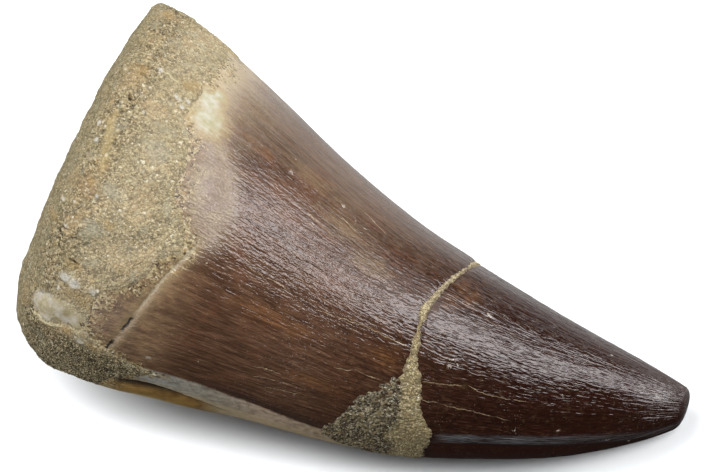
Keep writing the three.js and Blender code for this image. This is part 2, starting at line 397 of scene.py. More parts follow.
def tooth_profile():
    """Rows of (share, fraction along the body, extra mm past the body's end)."""
    rows = [(share, 0.0, 0.0) for share in STUMP_SHARES]
    spread = crowded(TOOTH_ROW_PLACES, TOOTH_ROW_WEIGHTS, np.linspace(0, 1, TOOTH_BODY_ROWS))
    rows += [(1.0, t, 0.0) for t in spread]
    for i in range(1, TOOTH_TIP_ROWS + 1):
        reach = math.sin(math.radians(90 * i / TOOTH_TIP_ROWS)) if i < TOOTH_TIP_ROWS else 1.0
        share = max(0.0, 1 - reach ** TIP_RIM["squareness"]) ** (1 / TIP_RIM["squareness"])
        rows.append((share, 1.0, TIP_RIM["rounding"] * reach))
    return np.array(rows)


rows = tooth_profile()
profile = [(i, 0.0 if share == 0 else 1.0) for i, (share, t, extra) in enumerate(rows)]
tooth, row, _, fraction = spun_piece("fossil_tooth", profile, TOOTH_COLUMNS)
row = np.rint(row).astype(int)
share, t, extra = rows[row].T
tooth_angle = crowded(TOOTH_COLUMN_PLACES, TOOTH_COLUMN_WEIGHTS, fraction)
tooth_start = round_body(MATRIX_EDGE, tooth_angle) - STUMP_LENGTH
tooth_along = tooth_start + (LENGTH - TIP_RIM["rounding"] - tooth_start) * t + extra
place_points(tooth.data, skin(tooth_along, tooth_angle, share))
print("tooth:", len(tooth.data.vertices), "points")

# %% Ridges, wrinkles and cutting edges
SWELLS_HEIGHT = 0.05
RIDGES_HEIGHT = 0.016
WRINKLES_HEIGHT = 0.026
COMBED_HEIGHT = 0.024
NEAR_EDGE_HEIGHT = 0.16
FAR_EDGE_HEIGHT = 0.4
FAR_EDGE_HALF_WIDTH = 1.4


def ridge(distance, half_width):
    """The section of a low ridge with a sharp crest and hollow sides."""
    return np.clip(1 - np.abs(distance) / half_width, 0, 1) ** 1.5


def tooth_relief(along, angle):
    bar = fibres(along, angle)
    broad = clouds(bar, (2.2, 2.2, 9.0), seed=3.1)
    drift = clouds(bar, (1.6, 1.6, 3.0), seed=11.7)
    waved = bar + 0.45 * drift[:, None] * np.array([1.0, 1.0, 0.0])
    ridges = clouds(waved, (0.5, 0.5, 6.0), seed=5.0)
    wrinkles = clouds(waved, (0.42, 0.42, 1.25), seed=21.0)
    straight = clouds(bar, (0.36, 0.36, 9.0), seed=14.0)
    towards_tip = smooth(along, 18, 42)
    height = SWELLS_HEIGHT * broad + RIDGES_HEIGHT * ridges
    height += WRINKLES_HEIGHT * towards_tip * wrinkles
    height += COMBED_HEIGHT * (1 - towards_tip) * straight

    near_edge = through(*zip(*CUTTING_EDGE_NEAR), along)
    to_near = (angle - near_edge) * mm_per_degree(along)
    to_far = (np.mod(angle - CUTTING_EDGE_FAR + 180, 360) - 180) * mm_per_degree(along)
    before_tip = smooth(LENGTH - along, 0.4, 4)
    near_fade = smooth(along, 37.2, 41) * before_tip
    far_fade = smooth(along, 12, 18) * before_tip
    height += NEAR_EDGE_HEIGHT * near_fade * (1 - smooth(np.abs(to_near), 0.1, 1.5))
    height += FAR_EDGE_HEIGHT * far_fade * ridge(to_far, FAR_EDGE_HALF_WIDTH)
    return height


heights = tooth_relief(tooth_along, tooth_angle)
print("ridges and edges, mm:", round(float(heights.min()), 2), "to", round(float(heights.max()), 2))

# %% The split, the crack and the old break
SPLIT_DEPTH = 0.4
SPLIT_SWELL = 0.15
CRACK_DEPTH = 0.16
CRACK_STEP = 0.06
BREAK_FURROW = 0.14
BREAK_STEP = 0.12
SUNK_UNDER_MATRIX = 0.35


def split_relief(along, angle):
    """The gape under the lower cutting edge: a sharp upper lip, and a lower one that slopes inwards."""
    upper = np.interp(along, *zip(*SPLIT_UPPER))
    below = (angle - upper) * mm_per_degree(along)
    span = smooth(along, 9.0, 12.0) * (1 - smooth(along, 16.5, 22.0))
    depth = SPLIT_DEPTH * span * np.where(below > 0, 1 - smooth(below, 0.05, 1.9), 0)
    swell = SPLIT_SWELL * span * smooth(below, 1.2, 2.4) * (1 - smooth(below, 3.0, 6.0))
    return swell - depth


def crack_relief(along, angle):
    sided, nearest = line_distance(along, angle, FLAKE_CRACK)
    open_part = 0.35 + 0.65 * smooth(clouds(fibres(along, angle), (1.2, 1.2, 1.2), seed=8.0), -0.2, 0.2)
    groove = CRACK_DEPTH * open_part * (1 - smooth(nearest, 0.05, 0.3))
    step = CRACK_STEP * smooth(-sided, -0.1, 0.3) * (1 - smooth(nearest, 0.5, 2.5))
    return step - groove


def break_relief(along, angle):
    """The two halves were joined a hair out of line, and the joint is a shallow furrow."""
    off = along - round_body(BREAK_LINE, angle)
    furrow = BREAK_FURROW * (1 - smooth(np.abs(off), 0.15, 0.5))
    out_of_line = smooth(np.cos(np.radians(angle - 40)), 0, 0.8)
    step = BREAK_STEP * (1 - smooth(off, -0.2, 0.2)) * smooth(off, -6, 0) * out_of_line
    return step - furrow


for carve in (split_relief, crack_relief, break_relief):
    heights += carve(tooth_along, tooth_angle)
under_matrix = smooth(round_body(MATRIX_EDGE, tooth_angle) - tooth_along, 0.6, 2.0)
heights = np.where(share < 1, 0, heights - SUNK_UNDER_MATRIX * under_matrix)
raise_relief(tooth.data, heights)
print("tooth relief, mm:", round(float(heights.min()), 2), "to", round(float(heights.max()), 2))

# %% [markdown]
# ### Where the tooth's colours lie
#
# The enamel is chocolate brown, paler and mauve towards the root. The split-off flake is khaki, a chip by
# the matrix shows cream dentine, and a pale grey strip runs under the lower cutting edge. Each such place
# could be its own painted mask. Here it is stored on the mesh as one smooth number, and the material
# roughens its border with fine noise, so it stays crisp at any distance.

# %% The marks on the tooth
PALE_EDGE = [
    (-40, 12.5), (0, 13.2), (25, 13.6), (40, 13.2), (52, 12.6), (60, 12.2), (72, 12.4), (82, 12.8),
    (88, 14.1), (97, 15.2), (103, 15.7), (109, 15.8), (114, 15.1), (120, 14.0), (127, 12.6),
    (134, 11.8), (150, 11.0), (170, 10.0), (200, 12), (250, 14), (285, 14),
]
PALE_SOFTNESS = [
    (0, 3.2), (30, 3.2), (52, 3.2), (72, 2.8), (84, 1.2), (110, 1.0), (124, 1.0), (150, 1.2),
    (250, 4.0),
]
CREAM_CHIP = [(10.4, 77.5, 1.4, 1.3), (9.7, 71.0, 1.05, 1.1), (10.3, 66.5, 0.6, 0.6)]
OCHRE_BLOTCHES = [
    (13.6, 71.5, 1.6, 1.0), (15.8, 73.5, 1.2, 0.7), (12.8, 84, 1.0, 0.8), (11.9, 62, 1.0, 1.6),
    (22.0, 128, 4.0, 0.8), (27.0, 148, 3.0, 0.7), (36.3, 71, 1.4, 1.5), (35.4, 81, 0.8, 1.0),
    (32.0, 124, 1.8, 1.0),
]
FILM_PATCHES = [
    (20.4, 67.5, 4.2, 1.4), (24.6, 78.5, 4.2, 1.7), (28.0, 86, 3.0, 1.3), (13.9, 58, 2.2, 2.0),
]
WHITE_SPECKS = [
    (18.6, 72.5, 0.26, 0.2), (18.3, 65.5, 0.2, 0.14), (23.7, 69, 0.28, 0.2), (25.2, 71.5, 0.2, 0.14),
    (26.3, 72, 0.3, 0.12), (33.0, 62, 0.15, 0.12), (40.2, 75, 0.2, 0.2), (38.6, 78.0, 0.16, 0.14),
    (39.1, 79.2, 0.2, 0.14), (39.5, 77.6, 0.14, 0.12), (37.3, 113.2, 0.3, 0.12),
    (37.9, 115.0, 0.14, 0.2), (37.3, 117.0, 0.26, 0.12), (49.7, 62, 0.2, 0.16), (13.6, 162.5, 0.5, 0.2),
    (17.5, 157, 0.18, 0.12), (44.0, 152, 0.18, 0.14), (47.5, 150, 0.18, 0.12), (51.5, 166, 0.2, 0.2),
    (53.2, 180, 0.2, 0.24), (42.5, 133, 0.2, 0.14), (22.0, 86, 0.2, 0.12), (47, 118, 0.2, 0.14),
]
CREAM_LINES = [
    [(18.6, 114.5), (19.9, 115.2), (21.1, 114.4), (22.4, 115.2)],
    [(23.9, 74.3), (25.0, 75.8), (25.9, 76.4)],
    [(25.7, 63.5), (27.7, 66.2), (29.6, 67.6)],
    [(22.0, 150.5), (23.2, 149.6), (24.4, 150.1)],
    [(22.2, 155.4), (23.7, 154.0), (25.2, 153.2)],
    [(23.5, 159.3), (24.8, 157.7), (26.1, 157.0)],
    [(28.6, 136.6), (29.4, 136.2), (30.1, 134.5), (31.0, 135.4), (32.2, 135.0)],
    [(35.8, 129.0), (37.7, 127.2), (39.5, 125.2), (40.4, 127.6), (41.9, 128.8), (44.1, 128.0)],
    [(36.1, 139.4), (37.5, 139.2), (38.8, 140.4), (40.1, 140.8), (41.7, 142.5), (43.2, 144.0)],
    [(25.2, 116.6), (27.8, 115.2), (29.4, 113.8), (33.2, 114.6)],
    [(21.4, 83.6), (22.6, 84.0), (23.8, 85.2)],
]
STRIP_TOP = [
    (8, 167), (14, 168.5), (18.3, 169), (20.9, 171.2), (23.6, 172.8), (26.2, 175.4), (29.7, 178),
    (32.3, 181), (36, 184), (57, 200),
]

print("specks:", len(WHITE_SPECKS), "blotches:", len(OCHRE_BLOTCHES), "hair cracks:", len(CREAM_LINES))

# %% Store the tooth's marks
to_pale = (round_body(PALE_EDGE, tooth_angle) - tooth_along) / round_body(PALE_SOFTNESS, tooth_angle)
keep_value(tooth.data, "pale_root", np.clip(to_pale, -3, 3))
for name, ovals in (
    ("cream_chip", CREAM_CHIP),
    ("ochre", OCHRE_BLOTCHES),
    ("film", FILM_PATCHES),
    ("specks", WHITE_SPECKS),
):
    keep_value(tooth.data, name, marks(tooth_along, tooth_angle, ovals))
for name, lines in (("cream_line", CREAM_LINES), ("crack", [FLAKE_CRACK])):
    sided, nearest = line_distance(tooth_along, tooth_angle, *lines)
    keep_value(tooth.data, name, sided)
    keep_value(tooth.data, name + "_near", nearest)
for name, edge_angle in (
    ("strip", np.interp(tooth_along, *zip(*STRIP_TOP))),
    ("below_split", np.interp(tooth_along, *zip(*SPLIT_UPPER))),
    ("below_edge", through(*zip(*CUTTING_EDGE_NEAR), tooth_along)),
):
    keep_value(tooth.data, name, (tooth_angle - edge_angle) * mm_per_degree(tooth_along))
keep_value(tooth.data, "from_matrix", tooth_along - round_body(MATRIX_EDGE, tooth_angle))
keep_value(tooth.data, "from_break", tooth_along - round_body(BREAK_LINE, tooth_angle))
keep_value(tooth.data, "along", tooth_along)
keep_value(tooth.data, "angle", tooth_angle)
keep_vector(tooth.data, "fibres", fibres(tooth_along, tooth_angle))
print("tooth marks:", len(tooth.data.attributes))

# %% [markdown]
# ## The matrix
#
# The rock is fine phosphate sand, cemented hard, with chips of white bone in it. Grains this small can't
# all be modelled, so the mesh carries lumps, pits and the largest grains, and the material carries the
# rest. The sheet of sand thins out over the enamel, so its border is ragged. Cutting the mesh there would
# leave a wall. Instead it slopes down through the tooth's skin, and the grains decide where exactly it
# dips under.

# %% Spin the matrix
MATRIX_COLUMNS = 610
MATRIX_COLUMN_PLACES = (BELLY_ANGLE, 10, 30, 195, 215, ONCE_ROUND)
MATRIX_COLUMN_WEIGHTS = (0.5, 0.6, 1, 1, 0.6, 0.5)
MATRIX_FACE_ROWS = 24
MATRIX_RIM_ROWS = 44
MATRIX_SIDE_ROWS = 80
MATRIX_OVERLAP = 2.0
MATRIX_INNER_SHARES = (0.9, 0.6, 0.0)
MATRIX_INNER_SQUEEZE = 0.92
RIM_STARTS = 0.9


def matrix_profile():
    """Rows of (share, fraction of the rim's depth, fraction along the side)."""
    n = ROOT_RIM["squareness"]
    rows = []
    for share in np.linspace(0, RIM_STARTS, MATRIX_FACE_ROWS):
        rows.append((share, 1 - (1 - share**n) ** (1 / n), 0.0))
    start = math.acos((1 - RIM_STARTS**n) ** (1 / n))
    for a in np.linspace(start, math.pi / 2, MATRIX_RIM_ROWS)[1:]:
        rows.append(((1 - max(0.0, math.cos(a)) ** n) ** (1 / n), 1 - math.cos(a), 0.0))
    rows += [(1.0, 1.0, t) for t in np.linspace(0, 1, MATRIX_SIDE_ROWS)[1:]]
    rows += [(share, 1.0, 1.0) for share in MATRIX_INNER_SHARES]
    return np.array(rows)


rows = matrix_profile()
profile = [(i, 0.0 if share == 0 else 1.0) for i, (share, depth, t) in enumerate(rows)]
matrix, row, _, fraction = spun_piece("sandy_matrix", profile, MATRIX_COLUMNS)
row = np.rint(row).astype(int)
share, depth, t = rows[row].T
matrix_angle = crowded(MATRIX_COLUMN_PLACES, MATRIX_COLUMN_WEIGHTS, fraction)
mean = (ROOT_RIM["hollow"] + ROOT_RIM["full"]) / 2
rim_depth = mean + (ROOT_RIM["hollow"] - mean) * np.cos(np.radians(matrix_angle))
matrix_end = round_body(MATRIX_EDGE, matrix_angle) + MATRIX_OVERLAP
matrix_along = rim_depth * depth + (matrix_end - rim_depth) * t
inside = row >= len(rows) - len(MATRIX_INNER_SHARES)
share = np.where(inside, share * MATRIX_INNER_SQUEEZE, share)
place_points(matrix.data, skin(matrix_along, matrix_angle, share))
print("matrix:", len(matrix.data.vertices), "points")

# %% Chips, stains, pits and edges on the matrix
BONE_CHIPS = [
    (4.75, 73.5, 0.42, 0.34), (7.25, 78.5, 0.5, 0.3), (7.9, 80.3, 0.34, 0.34), (8.1, 77.2, 0.34, 0.24),
    (2.5, 103.5, 0.3, 0.36), (2.1, 98, 0.25, 0.3), (4.7, 118.5, 0.24, 0.24), (2.1, 124.5, 0.26, 0.26),
    (4.9, 145.2, 0.75, 0.5), (5.8, 145.6, 0.7, 0.6), (7.5, 145.0, 0.45, 0.5), (7.9, 165, 0.55, 0.42),
    (3.4, 131, 0.3, 0.22), (5.2, 90, 0.22, 0.22),
]
PALE_SLAB = [
    (4.1, 160.2, 1.2, 1.5), (5.4, 157.6, 1.4, 1.3), (6.6, 157.8, 1.3, 0.9), (7.7, 158.6, 1.1, 0.6),
]
SLAB_EDGE = [
    (3.3, 166.4), (3.9, 165.3), (4.6, 165.8), (5.4, 164.0), (6.4, 162.3), (7.0, 161.6), (7.3, 162.2),
    (8.0, 160.6), (8.8, 160.0),
]
WHITE_VEIN = [(4.9, 73.4), (5.5, 72.6), (6.1, 73.2), (6.9, 72.8)]
TAN_RIDGE = [
    (3.1, 97.0, 0.4, 1.1), (3.3, 100.5, 0.4, 1.3), (3.6, 104.5, 0.45, 1.4), (4.0, 108.5, 0.4, 1.2),
]
OCHRE_STAINS = [
    (7.7, 72.0, 0.9, 0.5), (3.4, 77.0, 0.9, 0.7), (3.7, 115.6, 0.4, 0.4), (7.2, 149.6, 1.5, 0.8),
    (8.6, 151, 1.1, 0.8), (5.2, 140.6, 0.8, 0.5), (1.9, 131, 0.7, 0.5), (2.6, 44, 0.9, 0.8),
    (6.6, 124, 0.6, 0.4), (8.2, 69.4, 0.8, 0.4), (9.0, 165.5, 0.8, 0.5), (6.4, 163.6, 0.8, 0.4),
]
GREY_STAINS = [(5.6, 115, 1.0, 0.6), (7.6, 97.5, 1.2, 1.0), (8.0, 98.0, 0.9, 0.7), (5.5, 127, 1.2, 0.6)]
DARK_PITS = [
    (2.1, 138.5, 0.3, 0.22), (2.9, 133.5, 0.24, 0.2), (5.0, 139.4, 0.5, 0.14), (9.5, 172.5, 0.7, 0.3),
    (11.0, 176.0, 0.8, 0.4), (8.6, 60, 0.3, 0.2), (3.6, 88, 0.3, 0.2),
]

print("bone chips:", len(BONE_CHIPS), "stains:", len(OCHRE_STAINS) + len(GREY_STAINS))

# %% Lumps, grains and the ragged border
LUMPS_HEIGHT = 0.28
KNOBS_HEIGHT = 0.14
FINE_HEIGHT = 0.06
COARSE_GRAINS = 0.08
SMALL_GRAINS = 0.1
CHIPS_HEIGHT = 0.1
SLAB_HEIGHT = 0.12
PITS_DEPTH = 0.4
LEDGE_DEPTH = 0.22
SHEET_PROUD = 0.09
SHEET_DROP = 0.68


def matrix_relief(points, along, angle):
    lumps = clouds(points, 4.2, seed=2.0) * LUMPS_HEIGHT + clouds(points, 1.7, seed=9.0) * KNOBS_HEIGHT
    fine = clouds(points, 0.7, seed=4.0) * FINE_HEIGHT
    bed = grains(points, 0.55, seed=6.0)
    small = grains(points, 0.3, seed=16.0)
    smoother = 0.7 + 0.3 * smooth(along, 1.2, 3.6)
    slab = smooth(marks(along, angle, PALE_SLAB), 0.0, 0.25)
    grit = (COARSE_GRAINS * bed + SMALL_GRAINS * small) * smoother * (1 - 0.8 * slab)
    chips = CHIPS_HEIGHT * smooth(marks(along, angle, BONE_CHIPS), 0, 0.4)
    chips += CHIPS_HEIGHT * smooth(marks(along, angle, TAN_RIDGE), 0, 0.8)
    pits = PITS_DEPTH * smooth(marks(along, angle, DARK_PITS), 0, 0.7)
    sided, nearest = line_distance(along, angle, SLAB_EDGE)
    ledge = LEDGE_DEPTH * (1 - smooth(sided, -0.12, 0.05)) * (1 - smooth(nearest, 0.4, 1.8))
    return lumps + fine + grit + chips + SLAB_HEIGHT * slab - pits - ledge


def matrix_border(points, along, angle):
    """How far the sheet of sand stands above the enamel: proud, then down through it at its edge."""
    ragged = clouds(points, 1.6, seed=31.0) * 0.55 + clouds(points, 0.5, seed=33.0) * 0.22
    past = along - round_body(MATRIX_EDGE, angle) + ragged
    return SHEET_PROUD - SHEET_DROP * smooth(past, -0.9, 1.0), past


matrix_points = read_points(matrix.data) / MM
border, past_edge = matrix_border(matrix_points, matrix_along, matrix_angle)
relief = matrix_relief(matrix_points, matrix_along, matrix_angle)
thinning = 1 - 0.75 * smooth(past_edge, -2.5, -0.2)
sheet = np.where(t > 0, border * smooth(past_edge, -3.5, -1.0), 0)
heights = np.where(inside, 0, sheet + relief * thinning)
raise_relief(matrix.data, heights)
print("matrix relief, mm:", round(float(heights.min()), 2), "to", round(float(heights.max()), 2))

# %% Store the matrix's marks
for name, ovals in (
    ("bone", BONE_CHIPS),
    ("slab", PALE_SLAB),
    ("ochre", OCHRE_STAINS),
    ("tan", TAN_RIDGE),
    ("grey", GREY_STAINS),
    ("pits", DARK_PITS),
):
    keep_value(matrix.data, name, marks(matrix_along, matrix_angle, ovals))
sided, nearest = line_distance(matrix_along, matrix_angle, SLAB_EDGE, WHITE_VEIN)
keep_value(matrix.data, "cream_line", sided)
keep_value(matrix.data, "cream_line_near", nearest)
keep_value(matrix.data, "along", matrix_along)
# The lower side of the matrix, near the table, is darker: partly its own olive-brown sand, partly painted shade.
lower_side = smooth(matrix_angle, 163, 170) * (1 - smooth(matrix_angle, 215, 260))
keep_value(matrix.data, "dark_sand", lower_side * smooth(matrix_along, 2.0, 5.0))
print("matrix marks:", len(matrix.data.attributes))

# %% [markdown]
# ## The filler in the break
#
# Sandy cement joins the two halves. It is a thin bead over the top and spreads to a broad patch on the
# lower flank, with a dark gritty crust beside it. A strip laid on the enamel would show its underside at
# every ragged place. So the bead is a closed ring: a small oval loop spun all the way round, with its rim
# sunk into the enamel so that only its ragged crown shows.

# %% Spin the filler
FILLER_LEFT = [
    (0, 36.0), (49, 35.4), (62, 34.9), (73, 34.3), (80, 33.95), (88, 33.6), (94, 33.35), (104, 33.65),
    (113, 33.75), (126, 33.75), (131, 33.5), (136, 32.6), (140, 32.4), (145, 31.5), (149, 31.0),
    (154, 30.7), (160, 30.4), (170, 29.4), (180, 28.9), (190, 30.5), (200, 32.6), (215, 34.2),
    (240, 34.9), (280, 35.1), (320, 35.7),
]
CEMENT_LEFT = [
    (0, 30.0), (126, 33.0), (134, 34.1), (144, 34.5), (157, 34.9), (166, 34.2), (176, 34.8),
    (190, 35.0), (230, 30.0),
]
FILLER_RIGHT = [
    (0, 36.4), (30, 36.2), (46, 35.8), (61, 35.3), (72, 34.7), (79, 34.4), (87, 34.15), (94, 33.9),
    (104, 34.0), (112, 34.3), (121, 34.75), (126, 35.3), (132, 35.7), (138, 35.9), (148, 36.5),
    (154, 37.2), (165, 37.7), (180, 37.6), (200, 37.2), (215, 36.2), (240, 35.6), (280, 35.8),
    (320, 36.4),
]
FILLER_STEPS = 880
FILLER_STEP_PLACES = (BELLY_ANGLE, 15, 30, 206, ONCE_ROUND)
FILLER_STEP_WEIGHTS = (0.5, 0.5, 1, 1, 0.5)
FILLER_LOOP = 44
FILLER_TOP_SHARE = 0.75
FILLER_MARGIN = 0.25
FILLER_SUNK_SHARE = 0.93
RING_RADIUS = 3.0

loop = [math.tau * i / FILLER_LOOP for i in range(FILLER_LOOP)]
profile = [(math.cos(a), RING_RADIUS + math.sin(a)) for a in loop]
filler, ring_x, ring_radius, fraction = spun_piece("break_filler_sand", profile, FILLER_STEPS)
place = np.mod(np.arctan2(ring_radius - RING_RADIUS, -ring_x) / math.tau, 1)
on_top = place < FILLER_TOP_SHARE
underneath = (place - FILLER_TOP_SHARE) / (1 - FILLER_TOP_SHARE)
across = np.where(on_top, 2 * place / FILLER_TOP_SHARE - 1, 1 - 2 * underneath)
filler_angle = crowded(FILLER_STEP_PLACES, FILLER_STEP_WEIGHTS, fraction)
left = round_body(FILLER_LEFT, filler_angle)
right = round_body(FILLER_RIGHT, filler_angle)
filler_along = (left + right) / 2 + across * ((right - left) / 2 + FILLER_MARGIN)
place_points(filler.data, skin(filler_along, filler_angle, np.where(on_top, 1.0, FILLER_SUNK_SHARE)))
print("filler:", len(filler.data.vertices), "points")

# %% Its ragged crown
BEAD_HEIGHT = 0.02
BEAD_LUMPS = 0.05
CRUST_LUMPS = 0.10
PATCH_HEIGHT = 0.04
EDGE_SINKS = 0.3

filler_points = read_points(filler.data) / MM
ragged = clouds(filler_points, 1.1, seed=41.0) * 0.28 + clouds(filler_points, 0.4, seed=43.0) * 0.24
crust = 1 - smooth(filler_along - round_body(CEMENT_LEFT, filler_angle) + 0.5 * ragged, -0.4, 0.3)
crust = crust * smooth(filler_angle, 127, 132)
ragged = ragged * np.clip((right - left) / 1.4, 0.65, 1) * (1 + 1.4 * crust)
ragged = ragged - 0.1 * (1 - smooth(filler_angle, 50, 75))
inside_edge = np.minimum(filler_along - left, right - filler_along) + ragged
bead = BEAD_HEIGHT + BEAD_LUMPS * clouds(filler_points, 1.4, seed=44.0)
bead += 0.05 * grains(filler_points, 0.5, seed=46.0) + 0.07 * grains(filler_points, 0.28, seed=47.0)
bead += PATCH_HEIGHT * smooth(filler_angle, 148, 160)
body = np.where(crust > 0.5, bead + CRUST_LUMPS * clouds(filler_points, 0.5, seed=48.0), bead)
heights = np.where(on_top, -EDGE_SINKS + (EDGE_SINKS + body) * smooth(inside_edge, -0.35, 0.1), 0)
raise_relief(filler.data, heights)
keep_value(filler.data, "crust", crust)
keep_value(filler.data, "inside_edge", inside_edge)
keep_value(filler.data, "angle", filler_angle)
print("filler relief, mm:", round(float(heights.min()), 2), "to", round(float(heights.max()), 2))

# %% [markdown]
# ## Writing materials as sums
#
# A material is a net of nodes, and most of its nodes only add, multiply and compare. They could be placed
# and linked one by one, but the pattern would be lost among the links. The small class below wraps an
# output socket so that Python's own signs add those nodes, and a material then reads as arithmetic.

# %% A colour and a wire


def paint(code):
    """The linear colour of a web colour code."""
    values = [int(code[i:i + 2], 16) / 255 for i in (1, 3, 5)]
    return tuple(v / 12.92 if v <= 0.04045 else ((v + 0.055) / 1.055) ** 2.4 for v in values) + (1.0,)


class Wire:
    """An output socket that arithmetic can be done with."""

    def __init__(self, net, socket):
        self.net = net
        self.socket = socket

    def maths(self, operation, first, second=0.0):
        made = self.net.node("ShaderNodeMath", {"operation": operation}, {0: first, 1: second})
        return Wire(self.net, made.outputs[0])

    def __add__(self, other):
        return self.maths("ADD", self, other)

    def __radd__(self, other):
        return self.maths("ADD", other, self)

    def __sub__(self, other):
        return self.maths("SUBTRACT", self, other)

    def __rsub__(self, other):
        return self.maths("SUBTRACT", other, self)

    def __mul__(self, other):
        return self.maths("MULTIPLY", self, other)

    def __rmul__(self, other):
        return self.maths("MULTIPLY", other, self)

    def __abs__(self):
        return self.maths("ABSOLUTE", self)

    def most(self, other):
        return self.maths("MAXIMUM", self, other)


print("a mid brown in linear light:", [round(v, 3) for v in paint("#583e2e")[:3]])

# %% A net of nodes


class Net:
    """A node tree and the few ways in which its nodes are made."""

    def __init__(self, tree):
        self.tree = tree
        self.tree.nodes.clear()

    def node(self, kind, settings=None, values=None):
        """Adds a node: its settings first, then its sockets' values or links."""
        made = self.tree.nodes.new(kind)
        for key, value in (settings or {}).items():
            if key == "stops":
                self.set_stops(made.color_ramp, value)
            else:
                setattr(made, key, value)
        for key, value in (values or {}).items():
            if isinstance(value, Wire):
                self.tree.links.new(value.socket, made.inputs[key])
            else:
                made.inputs[key].default_value = value
        return made

    def set_stops(self, ramp, stops):
        while len(ramp.elements) < len(stops):
            ramp.elements.new(1.0)
        for element, (position, colour) in zip(ramp.elements, stops):
            element.position = position
            element.color = colour

    def out(self, name, *args):
        return Wire(self, self.node(*args).outputs[name])

    def step(self, value, low, high):
        """0 below low and 1 above high, with a smooth rise between."""
        values = {"Value": value, "From Min": low, "From Max": high}
        return self.out("Result", "ShaderNodeMapRange", {"interpolation_type": "SMOOTHSTEP"}, values)

    def vectors(self, operation, first, second):
        return self.out("Vector", "ShaderNodeVectorMath", {"operation": operation}, {0: first, 1: second})

    def report(self, stage):
        print(stage + ":", len(self.tree.nodes), "nodes so far")


# %% Patterns


class Patterns(Net):
    """The places and patterns that a finish is painted with."""

    def stretched(self, place, factors):
        """A place, with each of its axes multiplied."""
        return self.vectors("MULTIPLY", place, factors)

    def shifted(self, place, wobble, amount):
        """A place pushed about by a noise's colour, in mm, which bends whatever pattern is read there."""
        centred = self.vectors("SUBTRACT", wobble, (0.5,) * 3)
        return self.vectors("ADD", place, self.stretched(centred, (amount,) * 3))

    def stored(self, name, kind="Fac"):
        return self.out(kind, "ShaderNodeAttribute", {"attribute_name": name})

    def noise(self, place, size, detail=2.0, kind="Fac", roughness=0.5):
        """Noise between 0 and 1 with features of a size in mm."""
        values = {"Vector": place, "Scale": 1 / size, "Detail": detail, "Roughness": roughness}
        return self.out(kind, "ShaderNodeTexNoise", None, values)

    def cells(self, place, size, kind="Distance"):
        """Grains of a size in mm: the distance from a grain's middle, or a random colour for each grain."""
        return self.out(kind, "ShaderNodeTexVoronoi", None, {"Vector": place, "Scale": 1 / size})

    def pads(self, place, size):
        """Smooth pads of a size in mm: how far each place is from the edge of its pad."""
        settings = {"feature": "DISTANCE_TO_EDGE"}
        return self.out("Distance", "ShaderNodeTexVoronoi", settings, {"Vector": place, "Scale": 1 / size})


print("patterns:", [name for name in vars(Patterns) if not name.startswith("_")])

# %% A finish


class Finish(Patterns):
    """A new material. Its patterns are read at here, which is the place on the object in mm."""

    def __init__(self, name):
        self.material = bpy.data.materials.new(name)
        self.material.use_nodes = True
        super().__init__(self.material.node_tree)
        self.here = self.stretched(self.out("Object", "ShaderNodeTexCoord"), (1 / MM,) * 3)

    def ramp(self, value, *stops):
        stops = [(position, paint(code)) for position, code in stops]
        return self.out("Color", "ShaderNodeValToRGB", {"stops": stops}, {0: value})

    def mix(self, factor, first, second, how="MIX"):
        """Two colours mixed. A colour is a wire or a web colour code."""
        first, second = (paint(c) if isinstance(c, str) else c for c in (first, second))
        settings = {"data_type": "RGBA", "blend_type": how}
        made = self.node("ShaderNodeMix", settings, {0: factor, 6: first, 7: second})
        return Wire(self, made.outputs[2])

    def bump(self, height, distance, strength=1.0):
        """The surface's normal over a height field, which is a distance in mm deep."""
        values = {"Height": height, "Distance": distance * MM, "Strength": strength}
        return self.out("Normal", "ShaderNodeBump", None, values)

    def surface(self, colour, roughness, normal, **constants):
        """The shader itself. Constants are set on its own sockets."""
        values = {"Base Color": colour, "Roughness": roughness, "Normal": normal}
        values.update({key.replace("_", " "): value for key, value in constants.items()})
        shader = self.out("BSDF", "ShaderNodeBsdfPrincipled", None, values)
        self.node("ShaderNodeOutputMaterial", None, {"Surface": shader})

    def put_on(self, piece):
        piece.data.materials.append(self.material)
        self.report(self.material.name)


# %% [markdown]
# ## The enamel
#
# Fossil enamel is a thin glassy skin over brown dentine. Its colour runs in fine streaks along the tooth
# and darkens towards the tip. Low ridges run the same way, so the gloss breaks up into glints. Noise read
# on the tooth itself would run in straight lines past its curve. It is read on the straight bar instead,
# with the bar's length shortened, which draws the noise out into fibres. A little sway keeps the fibres
# from looking ruled.

# %% The enamel's fibres and wrinkles
enamel = Finish("fossil_enamel")
bar = enamel.stored("fibres", "Vector")
along = enamel.stored("along")
angle = enamel.stored("angle")


def drawn_out(place, share, size, *args, **settings):
    """Noise drawn out along the tooth, which it gets by seeing only a share of the tooth's length."""
    return enamel.noise(enamel.stretched(place, (1, 1, share)), size, *args, **settings)


swayed = enamel.shifted(bar, drawn_out(bar, 0.4, 1.4, 1.0, "Color"), 0.4)
kinked = enamel.shifted(swayed, drawn_out(bar, 0.8, 0.6, 1.0, "Color"), 0.3)
fibre = drawn_out(swayed, 0.08, 0.15, 3.0, roughness=0.6)
streak = drawn_out(swayed, 0.08, 0.26, 3.0)
crest = abs(drawn_out(kinked, 0.34, 0.4, 0.5) - 0.5)
silk = enamel.step(drawn_out(kinked, 0.32, 0.24, 0.8), 0.3, 0.7)
fine_silk = enamel.step(drawn_out(kinked, 0.4, 0.15, 1.0), 0.3, 0.7)
combed_lines = enamel.step(drawn_out(bar, 0.06, 0.2, 1.0), 0.3, 0.7)
pads = enamel.step(enamel.pads(enamel.stretched(kinked, (1, 1, 0.3)), 0.42), 0.0, 0.25)
cloud = enamel.noise(enamel.here, 3.0, 3.0)
edge_noise = enamel.noise(enamel.here, 0.6, 4.0, roughness=0.7) - 0.5
crinkled = enamel.step(along + (cloud - 0.5) * 10.0, 24.0, 36.0)
enamel.report("the fibres")

